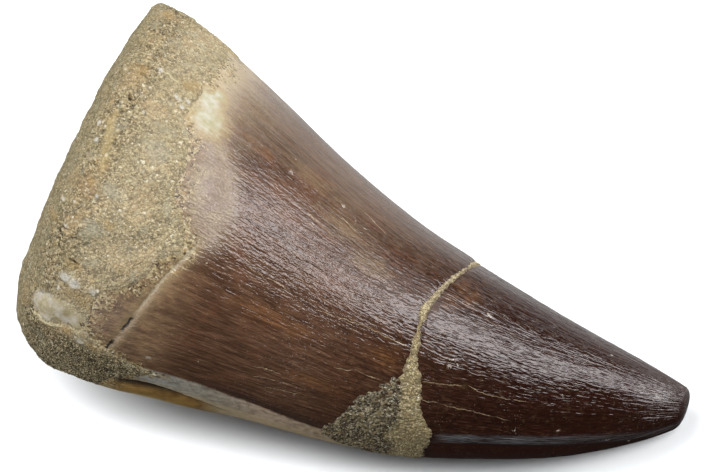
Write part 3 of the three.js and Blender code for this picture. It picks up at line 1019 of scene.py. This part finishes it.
# %% Brown enamel
to_tip = enamel.step(along + (cloud - 0.5) * 12.0, 20.0, 44.0)
brown = enamel.mix(to_tip, "#583e2e", "#2b130c")
brown = enamel.mix(enamel.step(streak, 0.45, 0.62) * 0.34, brown, "#27130d")
brown = enamel.mix(enamel.step(cloud, 0.48, 0.64) * (1 - to_tip) * 0.35, brown, "#6f4a35")
brown = enamel.mix(enamel.step(fibre, 0.5, 0.68) * (0.36 - 0.28 * to_tip), brown, "#8d6d54")

ochre = enamel.step(enamel.stored("ochre") + edge_noise, -0.4, 0.9)
brown = enamel.mix(ochre * (0.2 + 0.3 * enamel.step(fibre, 0.42, 0.6)), brown, "#825733")
film = enamel.step(enamel.stored("film") + edge_noise * 1.6 + (fibre - 0.5) * 1.6, -0.1, 1.0)
brown = enamel.mix(film * 0.4, brown, "#7d6848")
# A greyish brown laid along the upper side towards the root is a painted reflection: the sheen of light there at
# a grazing angle.
upper_painted_sheen = 1 - enamel.step(angle + (cloud - 0.5) * 40.0, 56.0, 82.0)
upper_painted_sheen = upper_painted_sheen * (1 - enamel.step(along, 22.0, 40.0))
brown = enamel.mix(upper_painted_sheen * 0.36, brown, "#756350")

# The creases between pads, and the root's fine grooves, are darkened here: painted shade in the creases.
groove = 1 - enamel.step(abs(drawn_out(bar, 0.05, 0.36, 1.0) - 0.5), 0.01, 0.09)
furrow = (1 - pads) * crinkled + groove * (1 - crinkled) * 0.6
brown = enamel.mix(furrow * 0.6, brown, "#180a06")
enamel.report("the brown")

# %% Pale enamel by the matrix
pale = enamel.ramp(enamel.noise(swayed, 1.6, 3.0), (0.3, "#7d6955"), (0.5, "#8f7c68"), (0.7, "#9e8f77"))
pale = enamel.mix(enamel.step(fibre, 0.46, 0.66) * 0.32, pale, "#5f4c3a")
pale = enamel.mix(enamel.step(drawn_out(bar, 0.6, 0.15, 0.5), 0.5, 0.66) * 0.42, pale, "#6a5946")
pale = enamel.mix(enamel.step(enamel.noise(enamel.here, 1.7, 2.0), 0.5, 0.65) * 0.4, pale, "#86746f")
pitted = enamel.noise(enamel.here, 0.17, 2.0)
pale = enamel.mix(enamel.step(pitted, 0.56, 0.66) * 0.35, pale, "#5f5040")
pale = enamel.mix(enamel.step(1 - pitted, 0.58, 0.68) * 0.3, pale, "#c2b496")
near_matrix = 1 - enamel.step(enamel.stored("from_matrix") + edge_noise * 1.5, 0.0, 2.2)
pale = enamel.mix(near_matrix * enamel.step(angle, 82.0, 96.0) * 0.6, pale, "#745a3c")
upper_pale = (1 - enamel.step(angle, 72.0, 92.0)) * (1 - enamel.step(along, 9.0, 14.0))
pale = enamel.mix(upper_pale * 0.75, pale, "#c3b193")
pale = enamel.mix(upper_pale * enamel.step(fibre, 0.47, 0.62) * 0.4, pale, "#7b6b50")

pale_amount = enamel.stored("pale_root") + edge_noise * 0.5 + (fibre - 0.5) + (streak - 0.5) * 1.2
pale_part = enamel.step(pale_amount, -0.4, 0.7)
colour = enamel.mix(enamel.step(pale_amount, -1.9, 0.6) * 0.6, brown, pale)
colour = enamel.mix(pale_part, colour, pale)
enamel.report("the pale root")

# %% [markdown]
# ### Worn, split and broken places
#
# Age has worked on the enamel in several ways, and each has a colour of its own: a khaki flake beyond its
# crack, a pale grey strip along the lower edge, and the ochre lip in the split. The split's dark gape is
# painted shade, the grey band along the near cutting edge is a painted sheen, and the darker brown under
# that edge is painted shade. They could be separate materials on separate faces, but then the borders
# would follow the mesh. Each is one more layer instead, laid on where its stored number says so.

# %% The flake and the grey strip
flake = enamel.ramp(drawn_out(bar, 0.3, 0.4, 3.0), (0.35, "#604835"), (0.65, "#8f7253"))
by_crack = 1 - enamel.step(enamel.stored("crack_near") + edge_noise * 0.8, 0.15, 1.1)
on_flake = enamel.step(angle, 120.0, 128.0) * (1 - enamel.step(angle, 164.0, 172.0))
on_flake = on_flake * (1 - enamel.step(along + (fibre - 0.5) * 6.0, 12.2, 16.6))
colour = enamel.mix(on_flake * 0.85, colour, flake)
colour = enamel.mix(by_crack * enamel.step(along, 9.6, 10.6) * 0.6, colour, "#917d5d")

strip_at = enamel.stored("strip") + edge_noise * 0.35
above_strip = enamel.step(strip_at, -1.5, -0.4) * (1 - enamel.step(strip_at, -0.2, 0.1))
above_strip = above_strip * enamel.step(along, 17.0, 20.0) * (1 - enamel.step(along, 28.0, 31.0))
colour = enamel.mix(above_strip * 0.6, colour, "#2c2120")
strip = enamel.ramp(
    along * (1 / LENGTH), (0.24, "#9a9a95"), (0.34, "#989080"), (0.42, "#b29a84"), (0.58, "#978463"),
)
strip = enamel.mix(enamel.step(streak, 0.42, 0.62) * 0.35, strip, "#6e6453")
mottle = enamel.noise(enamel.here, 0.5, 4.0, roughness=0.7)
strip = enamel.mix(enamel.step(mottle, 0.5, 0.62) * 0.5, strip, "#5f574b")
strip = enamel.mix((1 - enamel.step(mottle, 0.38, 0.5)) * 0.4, strip, "#b7aa9a")
strip = enamel.mix(enamel.step(strip_at + (fibre - 0.5) * 2.0, 1.6, 2.6) * 0.5, strip, "#baa67c")
on_strip = enamel.step(strip_at, -0.1, 0.25) * (1 - enamel.step(enamel.stored("from_break"), -1.0, 0.0))
on_strip = on_strip * enamel.step(along, 12.0, 14.0) * (1 - enamel.step(angle, 206.0, 222.0))
colour = enamel.mix(on_strip, colour, strip)
enamel.report("the flake and the strip")

# %% The split and the cutting edge
below_split = enamel.stored("below_split") + edge_noise * 0.3
lip = enamel.ramp(enamel.noise(enamel.here, 0.9, 3.0), (0.35, "#6f5228"), (0.6, "#94733f"))
lip = enamel.mix(enamel.step(below_split, 2.6, 3.8), lip, "#b9a16c")
in_split = enamel.step(below_split, 0.0, 0.15) * (1 - enamel.step(along, 18.0, 21.5))
in_split = in_split * (1 - enamel.step(angle, 205.0, 215.0))
colour = enamel.mix(in_split, colour, lip)
# The gape of the split above its lip is painted near black: painted shade in the opening.
gape = 1.3 - enamel.step(along, 13.5, 21.0) * 0.9
split_gape_shade = enamel.step(below_split, 0.0, 0.12) * (1 - enamel.step(below_split - gape, -0.5, 0.5))
split_gape_shade = split_gape_shade * (1 - enamel.step(along, 20.0, 21.5))
colour = enamel.mix(split_gape_shade * 0.94, colour, "#150c07")

below_edge = enamel.stored("below_edge") + edge_noise * 0.4
right_half = enamel.step(enamel.stored("from_break"), 1.5, 3.0)
# A grey band along the near cutting edge is a painted sheen of light on the edge.
edge_sheen = enamel.step(below_edge, -0.5, 0.0) * (1 - enamel.step(below_edge, 0.4, 1.0))
edge_sheen = edge_sheen * right_half * (1 - enamel.step(along, 42.0, 54.0) * 0.6)
colour = enamel.mix(edge_sheen * (0.1 + 0.7 * enamel.step(fibre, 0.42, 0.58)), colour, "#6f7073")
# Below that edge the brown is darker: painted shade on the face that turns down towards the table.
shade_below_edge = enamel.step(below_edge, 0.6, 1.2) * right_half
colour = enamel.mix(shade_below_edge * 0.5, colour, "#3b1a10")
enamel.report("the split and the edge")

# %% [markdown]
# ### Small marks and sand
#
# Pale hair cracks, white specks and sand from the matrix lie on the enamel, and beside the matrix a chip
# shows cream dentine in an ochre halo. Specks and grains could be scattered as small meshes, but
# thousands of them would weigh more than they show. So they are painted from noise, and only the marks
# that stand out have a place of their own.

# %% Hair cracks, specks and dust
line_side = enamel.stored("cream_line") + (enamel.noise(enamel.here, 0.5, 2.0) - 0.5) * 0.3
line = 1 - enamel.step(abs(line_side), 0.0, 0.045)
line = line * (1 - enamel.step(enamel.stored("cream_line_near"), 0.25, 0.35))
line = line * enamel.step(enamel.noise(enamel.here, 0.7, 3.0), 0.36, 0.54)
colour = enamel.mix(line * 0.66, colour, "#b39d7c")

grit = enamel.noise(enamel.here, 0.13, 1.0) - 0.5
speck = enamel.step(enamel.stored("specks") + edge_noise * 1.2 + grit * 1.6, 0.1, 0.5)
dust = enamel.step(enamel.noise(enamel.here, 0.14, 2.0), 0.67, 0.74) * enamel.step(cloud, 0.44, 0.58)
colour = enamel.mix((speck * 0.7).most(dust * 0.4), colour, "#b3a99c")
enamel.report("the specks")

# %% A dusting of sand


def sand_bed(finish, place, size, dark_share=0.16):
    """A grain colour and a grain height for a bed of sand with grains of a size in mm."""
    wobble = finish.noise(place, size * 1.5, 1.0, "Color")
    bent = finish.shifted(place, wobble, size * 0.8)
    tone = finish.out("Red", "ShaderNodeSeparateColor", None, {0: finish.cells(bent, size, "Color")})
    dome = 1 - finish.cells(bent, size)
    colour = finish.ramp(
        tone, (0.0, "#1d160d"), (dark_share, "#57482f"), (dark_share + 0.14, "#7f6d4a"), (0.55, "#a08f69"),
        (0.82, "#bfb08a"), (0.92, "#a07f4c"), (1.0, "#ddd5bd"),
    )
    return colour, dome


drifts = enamel.noise(enamel.here, 1.4, 3.0, roughness=0.6) - 0.5
sandy = enamel.noise(enamel.here, 0.2, 2.0, roughness=0.7) + drifts * 0.7
sandy = sandy - enamel.stored("from_matrix") * 0.17
dusting, _ = sand_bed(enamel, enamel.here, 0.19)
colour = enamel.mix(enamel.step(sandy + edge_noise * 0.5, 0.34, 0.48) * 0.85, colour, dusting)
enamel.report("the dusting of sand")

# %% The cream chip and the open crack
chip_at = enamel.stored("cream_chip") + edge_noise * 1.2
halo = enamel.ramp(enamel.noise(enamel.here, 0.7, 3.0), (0.35, "#b09a6c"), (0.6, "#9c7f4e"))
colour = enamel.mix(enamel.step(chip_at, -1.0, 0.2) * 0.6, colour, halo)
chip_noise = enamel.noise(enamel.here, 0.8, 3.0)
chip = enamel.ramp(chip_noise, (0.35, "#a69d7d"), (0.5, "#b3ad94"), (0.6, "#bdb9a9"))
on_chip = enamel.step(chip_at, -0.5, 0.7)
colour = enamel.mix(on_chip, colour, chip)

crack_side = enamel.stored("crack") + (enamel.noise(enamel.here, 0.4, 2.0) - 0.5) * 0.4
open_crack = 1 - enamel.step(abs(crack_side), 0.07, 0.17)
open_crack = open_crack * (1 - enamel.step(enamel.stored("crack_near"), 0.4, 0.5))
upper_gap_shade = 1 - enamel.step(abs(angle + edge_noise * 3.0 - 151.0), 2.5, 3.6)
lower_gap_shade = 1 - enamel.step(abs(angle + edge_noise * 3.0 - 162.0), 2.4, 3.4)
colour = enamel.mix(open_crack * (1 - enamel.step(angle, 140.0, 150.0)) * 0.6, colour, "#b0a48a")
# The crack's two open gaps are painted near black: painted shade inside them.
colour = enamel.mix(open_crack * upper_gap_shade.most(lower_gap_shade) * 0.95, colour, "#100b07")
enamel.report("the chip and the crack")

# %% [markdown]
# ### Gloss and fine relief
#
# Whole enamel is glossy, and worn places are dull. The fine wrinkles could be modelled too, but a mesh
# that holds them would be many times as heavy. They are a bump instead, only hundredths of a millimetre
# deep: silky, combed lines over the root half, and pads with sharp creases between them towards the tip.

# %% The enamel's gloss and bump
GLOSSY = 0.17
DULLER_WHEN_WORN = 0.25
ENAMEL_BUMP = 0.018

worn_parts = pale_part.most(on_flake).most(on_strip).most(in_split).most(on_chip)
rough = GLOSSY - 0.06 * crinkled + 0.1 * enamel.step(along, 49.0, 56.0)
rough = rough + DULLER_WHEN_WORN * worn_parts.most(film * 0.5)
root_relief = fine_silk + silk * 0.65 + combed_lines * 0.75
relief = (silk + pads * 0.4) * crinkled + root_relief * (1 - crinkled) - crest
relief = relief * (1 - 0.5 * enamel.step(along, 43.0, 53.0)) + edge_sheen * combed_lines * 1.2
normal = enamel.bump(relief, ENAMEL_BUMP)
enamel.surface(colour, rough, normal, IOR=1.55, Specular_Tint=(1.0, 0.93, 0.92, 1.0))
enamel.put_on(tooth)

# %% [markdown]
# ## The sand
#
# Up close the matrix is a bed of grains, each of its own colour: khaki, cream, orange and near black,
# with painted shade in the gaps between. Plain noise would look like felt. The bed of sand that dusts the
# enamel serves here too, at two sizes: cells of random colour give each grain one tone, and their distance
# field gives its dome and the painted shade between domes. Stains a few millimetres wide shift the whole
# bed between olive, ochre and grey.

# %% Grains of the matrix
sand = Finish("matrix_sand")
coarse_grain, coarse_dome = sand_bed(sand, sand.here, 0.3, dark_share=0.12)
fine_grain, fine_dome = sand_bed(sand, sand.here, 0.18, dark_share=0.12)
patchy = sand.noise(sand.here, 0.5, 3.0, roughness=0.7) - 0.5
ragged = (sand.noise(sand.here, 0.3, 3.0, roughness=0.75) - 0.5) * 2.0
coarse = sand.step(patchy, -0.06, 0.1)
colour = sand.mix(coarse, fine_grain, coarse_grain)
dome = fine_dome + (coarse_dome - fine_dome) * coarse
# Where the domes fall away between grains, the colour darkens: painted shade in the gaps.
colour = sand.mix((1 - sand.step(dome, 0.3, 0.62)) * 0.6, colour, "#3f3322")
pepper = sand.noise(sand.here, 0.13, 2.0, roughness=0.7)
colour = sand.mix(sand.step(pepper, 0.6, 0.7) * 0.75, colour, "#2c2216")
colour = sand.mix(sand.step(1 - pepper, 0.57, 0.68) * 0.6, colour, "#d0c5a6")
colour = sand.mix(sand.step(sand.noise(sand.here, 0.26, 1.0), 0.74, 0.78) * 0.85, colour, "#17120c")
sand.report("the grains")

# %% Stains across the bed
stain = sand.noise(sand.here, 2.6, 4.0, roughness=0.6)
colour = sand.mix(sand.step(stain, 0.5, 0.66) * 0.35, colour, "#7c724f")
colour = sand.mix((1 - sand.step(stain, 0.34, 0.5)) * 0.38, colour, "#ac9069")
greyish = sand.noise(sand.here, 1.3, 3.0, roughness=0.6)
colour = sand.mix(sand.step(greyish, 0.54, 0.66) * 0.4, colour, "#9b9580")
dark_sand = sand.stored("dark_sand")
open_side = sand.step(sand.stored("along"), 3.0, 6.5) * (1 - dark_sand)
colour = sand.mix(open_side * 0.2, colour, "#e0cfaa")
rim_band = 1 - sand.step(sand.stored("along") + (sand.noise(sand.here, 1.2, 3.0) - 0.5) * 2.0, 1.4, 3.6)
colour = sand.mix(rim_band * 0.34, colour, "#82785a")
ochre = sand.step(sand.stored("ochre") + patchy + ragged * 0.3, -0.4, 0.7)
colour = sand.mix(ochre * 0.45, colour, "#a1824f")
grey = sand.step(sand.stored("grey") + patchy + ragged * 0.3, -0.3, 0.6)
colour = sand.mix(grey * 0.5, colour, "#a29c87")
tan = sand.step(sand.stored("tan") + patchy * 0.8 + ragged * 0.3, -0.2, 0.6)
colour = sand.mix(tan * 0.5, colour, "#ab9465")
sand.report("the stains")

# %% The slab, the dark side, bone and pits
slab = sand.step(sand.stored("slab") + patchy * 0.7, -0.3, 0.4)
slab_noise = sand.noise(sand.here, 1.0, 3.0)
slab_colour = sand.ramp(slab_noise, (0.35, "#a3966f"), (0.5, "#bbb097"), (0.65, "#c8c0b4"))
colour = sand.mix(slab * 0.75, colour, slab_colour)
# The darker lower side is partly the sand's own tone and partly painted shade near the table.
colour = sand.mix(dark_sand * 0.34, colour, "#6b5d45", "MULTIPLY")
colour = sand.mix(dark_sand * sand.step(pepper, 0.48, 0.6) * 0.7, colour, "#2a2217")
colour = sand.mix(sand.step(1 - pepper, 0.54, 0.62) * dark_sand * 0.9, colour, "#cbbc94")
line_side = sand.stored("cream_line") + patchy * 0.35
line = 1 - sand.step(abs(line_side), 0.02, 0.15)
line = line * (1 - sand.step(sand.stored("cream_line_near"), 0.4, 0.5))
colour = sand.mix(line * sand.step(greyish, 0.4, 0.5) * 0.8, colour, "#c9bb96")
flecks = sand.step(sand.noise(sand.here, 0.45, 1.0), 0.72, 0.77)
colour = sand.mix(flecks * 0.6, colour, "#c6bfaa")
bone = sand.step(sand.stored("bone") + patchy * 0.6 + ragged * 0.6, 0.0, 0.7)
bone_colour = sand.ramp(ragged + 0.5, (0.2, "#a39a86"), (0.7, "#c3bfb6"))
colour = sand.mix(bone * 0.85, colour, bone_colour)
# The pits' near-black colour is painted shade in the hollows.
pits = sand.step(sand.stored("pits") + patchy * 0.6, 0.1, 0.6)
colour = sand.mix(pits * 0.8, colour, "#2c2318")
sand.report("the marks")

# %% The sand's relief
SAND_BUMP = 0.15

smooth_parts = bone.most(slab).most(rim_band * 0.15).most(tan * 0.6)
height = (dome * 0.9 - pepper * 0.6) * (1 - 0.8 * smooth_parts)
normal = sand.bump(height, SAND_BUMP)
sand.surface(colour, 0.92 - 0.2 * bone, normal, IOR=1.45)
sand.put_on(matrix)

# %% [markdown]
# ### The filler's sand
#
# The cement holds finer, yellower sand, paler in the thin bead over the top and glassy brown lower down.
# The paler top is partly painted light, and the darker brown lower down is partly painted shade.
# The crust beside the patch is dark grit with pale grains. The matrix's own finish could serve here, but
# the two differ where they are seen side by side, so the filler mixes the same grains anew.

# %% Paint the filler
FILLER_BUMP = 0.11

cement = Finish("filler_sand")
grain, dome = sand_bed(cement, cement.here, 0.19, dark_share=0.08)
colour = cement.mix(0.3, grain, "#bfae86")
# The bead over the top is paler: partly its own colour, partly painted light.
bead_top_pale_and_lit = 1 - cement.step(cement.stored("angle"), 84.0, 104.0)
colour = cement.mix(bead_top_pale_and_lit * 0.45, colour, "#dccba8")
crust = cement.stored("crust")
crust_grain, crust_dome = sand_bed(cement, cement.here, 0.24, dark_share=0.42)
crust_colour = cement.mix(0.45, crust_grain, "#2c261c")
pale_grains = cement.noise(cement.here, 0.16, 1.0)
crust_colour = cement.mix(cement.step(pale_grains, 0.6, 0.68) * 0.85, crust_colour, "#c3bca9")
colour = cement.mix(crust, colour, crust_colour)
# Where the domes fall away between grains, the cement darkens: painted shade in the gaps.
grain_gap_shade = 1 - cement.step(dome, 0.35, 0.62)
colour = cement.mix(grain_gap_shade * 0.6, colour, "#574a31")
# Lower down the cement is darker and glassy brown: partly its own colour, partly painted shade.
low_glassy_and_shaded = cement.step(cement.stored("angle"), 104.0, 146.0) * (1 - crust)
glassy = cement.noise(cement.here, 0.5, 3.0, roughness=0.7)
colour = cement.mix(low_glassy_and_shaded * cement.step(glassy, 0.42, 0.6) * 0.36, colour, "#7d6f4a")
# Where the filler sinks into the enamel along its edges it is darkened: painted shade in the seam.
low = 1 - cement.step(cement.stored("inside_edge"), 0.0, 0.3)
colour = cement.mix(low * 0.4, colour, "#4a3526")
normal = cement.bump(dome + crust * crust_dome, FILLER_BUMP)
cement.surface(colour, 0.85 - 0.3 * crust, normal, IOR=1.45)
cement.put_on(filler)

# %% [markdown]
# ## The table and the light
#
# Glossy enamel shows its lights as much as its colour. A tall, narrow strip of light stands beyond the
# tip end, and its reflection is the band of glints on the crown's shoulder. A small box low beside it
# lights the tip. A wide, weak box hangs behind and above, a large one on the left keeps the matrix soft,
# and a low fill in front opens the near flank. One bright sky could light all this, but it would flatten
# the wrinkles. The white table has three lights of its own, which burn it out to plain white, so that
# only the narrow gap right under the tooth falls dark. It sends no light back: there the tooth sees a dim
# room in front and a pale sweep behind.

# %% Lay the table
TABLE_SIZE = 3.0
TABLE_DROP = 0.05

bm = bmesh.new()
bmesh.ops.create_grid(bm, x_segments=1, y_segments=1, size=TABLE_SIZE / 2)
bmesh.ops.translate(bm, verts=bm.verts, vec=(0, 0, -TABLE_DROP * MM))
table = bpy.data.objects.new("table", bpy.data.meshes.new("table"))
bm.to_mesh(table.data)
bm.free()
bpy.context.scene.collection.objects.link(table)
table.visible_glossy = False
table.visible_diffuse = False
paper = Finish("white_table")
flat = paper.bump(paper.noise(paper.here, 40.0), 0.01)
paper.surface(paint("#eeeeee"), 0.9, flat)
paper.put_on(table)
table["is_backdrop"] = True

# %% Hang the lights
# Each box: azimuth, elevation, distance, width, height, watts.
SPECIMEN_BOXES = {
    "key_strip": (118, 40, 0.5, 0.17, 0.72, 2.45),
    "low_key": (111, 14, 0.5, 0.16, 0.12, 0.38),
    "back_top": (180, 66, 0.5, 1.2, 0.5, 3.0),
    "left_box": (-107, 50, 0.6, 0.9, 0.6, 3.6),
    "front_fill": (-30, 17, 0.6, 0.6, 0.4, 2.8),
}
TABLE_BOXES = {
    "table_left": (-75, 50, 0.6, 0.3, 0.66, 6.5),
    "table_right": (105, 40, 0.6, 0.3, 0.45, 2.1),
    "table_top": (60, 70, 0.6, 0.3, 0.25, 2.5),
}
LIGHTS_AIM = Vector((0, 0, 10)) * MM
DAYLIGHT = (0.96, 0.98, 1.0)


def hang_light(name, receivers, azimuth, elevation, distance, width, height, watts):
    """A soft box that lights only its receivers, though everything casts a shadow in it."""
    light = bpy.data.objects.new(name, bpy.data.lights.new(name, "AREA"))
    light.data.color = DAYLIGHT
    light.data.shape = "RECTANGLE"
    light.data.size = width
    light.data.size_y = height
    light.data.energy = watts
    light.light_linking.receiver_collection = receivers
    aim(light, LIGHTS_AIM + direction(azimuth, elevation) * distance, LIGHTS_AIM)


specimen_only = bpy.data.collections.new("specimen_only")
for piece in (tooth, matrix, filler):
    specimen_only.objects.link(piece)
table_only = bpy.data.collections.new("table_only")
table_only.objects.link(table)
for boxes, receivers in ((SPECIMEN_BOXES, specimen_only), (TABLE_BOXES, table_only)):
    for name, box in boxes.items():
        hang_light(name, receivers, *box)
print("lights:", len(SPECIMEN_BOXES), "for the tooth and", len(TABLE_BOXES), "for the table")

# %% Fill the room
ROOM_GLOW = 0.03
SWEEP_GLOW = 1.0
ROOM_SEEN = 1.0

world = bpy.data.worlds.new("room")
bpy.context.scene.world = world
world.use_nodes = True
room = Net(world.node_tree)
looked_at = room.node("ShaderNodeSeparateXYZ", None, {0: room.out("Generated", "ShaderNodeTexCoord")})
behind = Wire(room, looked_at.outputs["Y"])
above = Wire(room, looked_at.outputs["Z"])
sweep = room.step(behind, 0.3, 0.9) * (1 - room.step(above, -0.05, 0.35))
glow = ROOM_GLOW + (SWEEP_GLOW - ROOM_GLOW) * sweep
seen = room.out("Is Camera Ray", "ShaderNodeLightPath")
strength = glow + (ROOM_SEEN - glow) * seen
background = room.out("Background", "ShaderNodeBackground", None, {"Strength": strength})
room.node("ShaderNodeOutputWorld", None, {"Surface": background})
print("the room glows", ROOM_GLOW, "in front and", SWEEP_GLOW, "behind")

# %% [markdown]
# ## Handing over
#
# Each mesh stands for the plain solid of the same piece, which is hidden, and rides on the one body there
# is. The plain solids could stay and be dressed, but they are too coarse to carry the relief. Last, the
# boxes of the model and of what is shown are gathered side by side.

# %% Stand in for the plain solids
for piece, node, slot in (
    (tooth, "tooth", "enamel"),
    (matrix, "matrix", "sandy_matrix"),
    (filler, "break_filler", "sandy_filler"),
):
    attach(piece, "root")
    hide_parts(node)
    print(piece.name, "stands for", node, "with", len(piece.data.polygons), "faces")

boxes = {"model": [list(corner) for corner in model_box], "visual": [list(corner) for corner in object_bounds()]}
